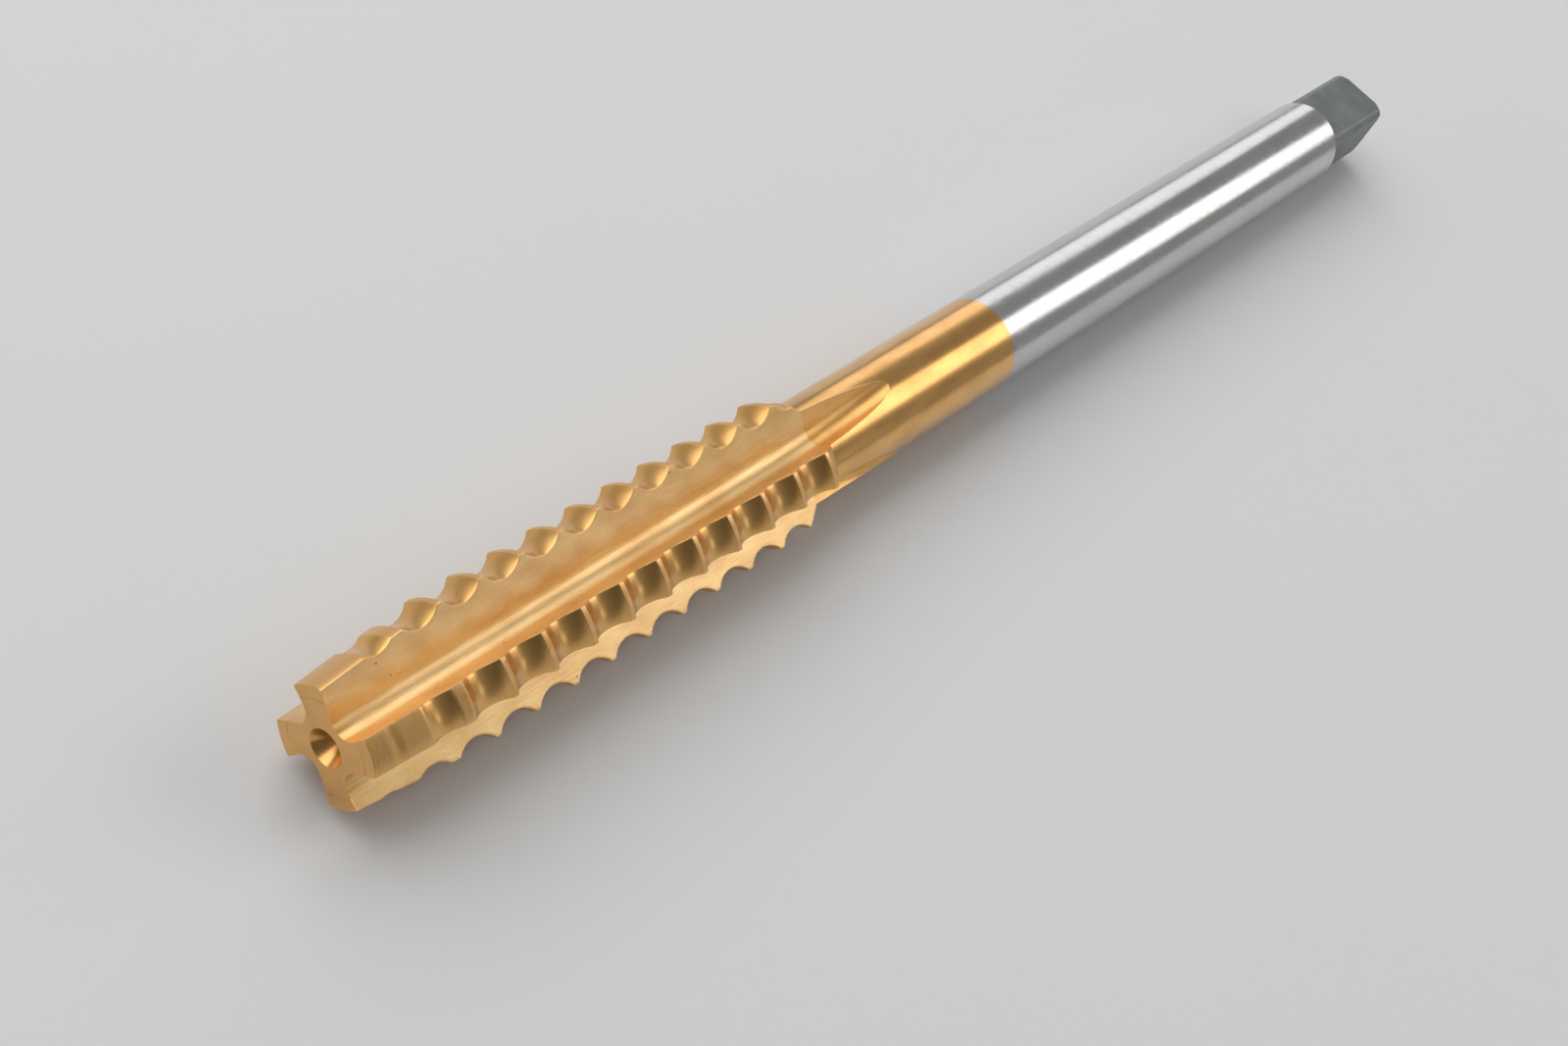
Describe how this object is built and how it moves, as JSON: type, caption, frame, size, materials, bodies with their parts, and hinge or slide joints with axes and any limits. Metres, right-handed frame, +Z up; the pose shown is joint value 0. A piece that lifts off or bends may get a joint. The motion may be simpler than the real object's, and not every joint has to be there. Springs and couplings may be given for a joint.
{
  "type": "machine tap",
  "caption": "Straight-flute machine tap with a coarse rounded right-hand thread, a short tapered lead, a plain coated neck, a bare round shank and a square drive end.",
  "frame": {"origin": "centre of the front face, at the mouth of the front centre hole", "axes": "+X along the tool's axis, from the front face to the drive square; +Z up, out of the top flute; the tool lies on its two lower lands"},
  "size_m": [0.148, 0.01, 0.01],
  "materials": {
    "gold_coating": "satin gold-coloured nitride coating on ground steel",
    "ground_steel": "bright ground steel",
    "dark_steel": "dark milled steel"
  },
  "bodies": {
    "root": {"fluted_core": "gold_coating", "thread_land_1": "gold_coating", "thread_land_2": "gold_coating", "thread_land_3": "gold_coating", "thread_land_4": "gold_coating", "coated_neck": "gold_coating", "shank": "ground_steel", "drive_square": "dark_steel"}
  },
  "joints": []
}
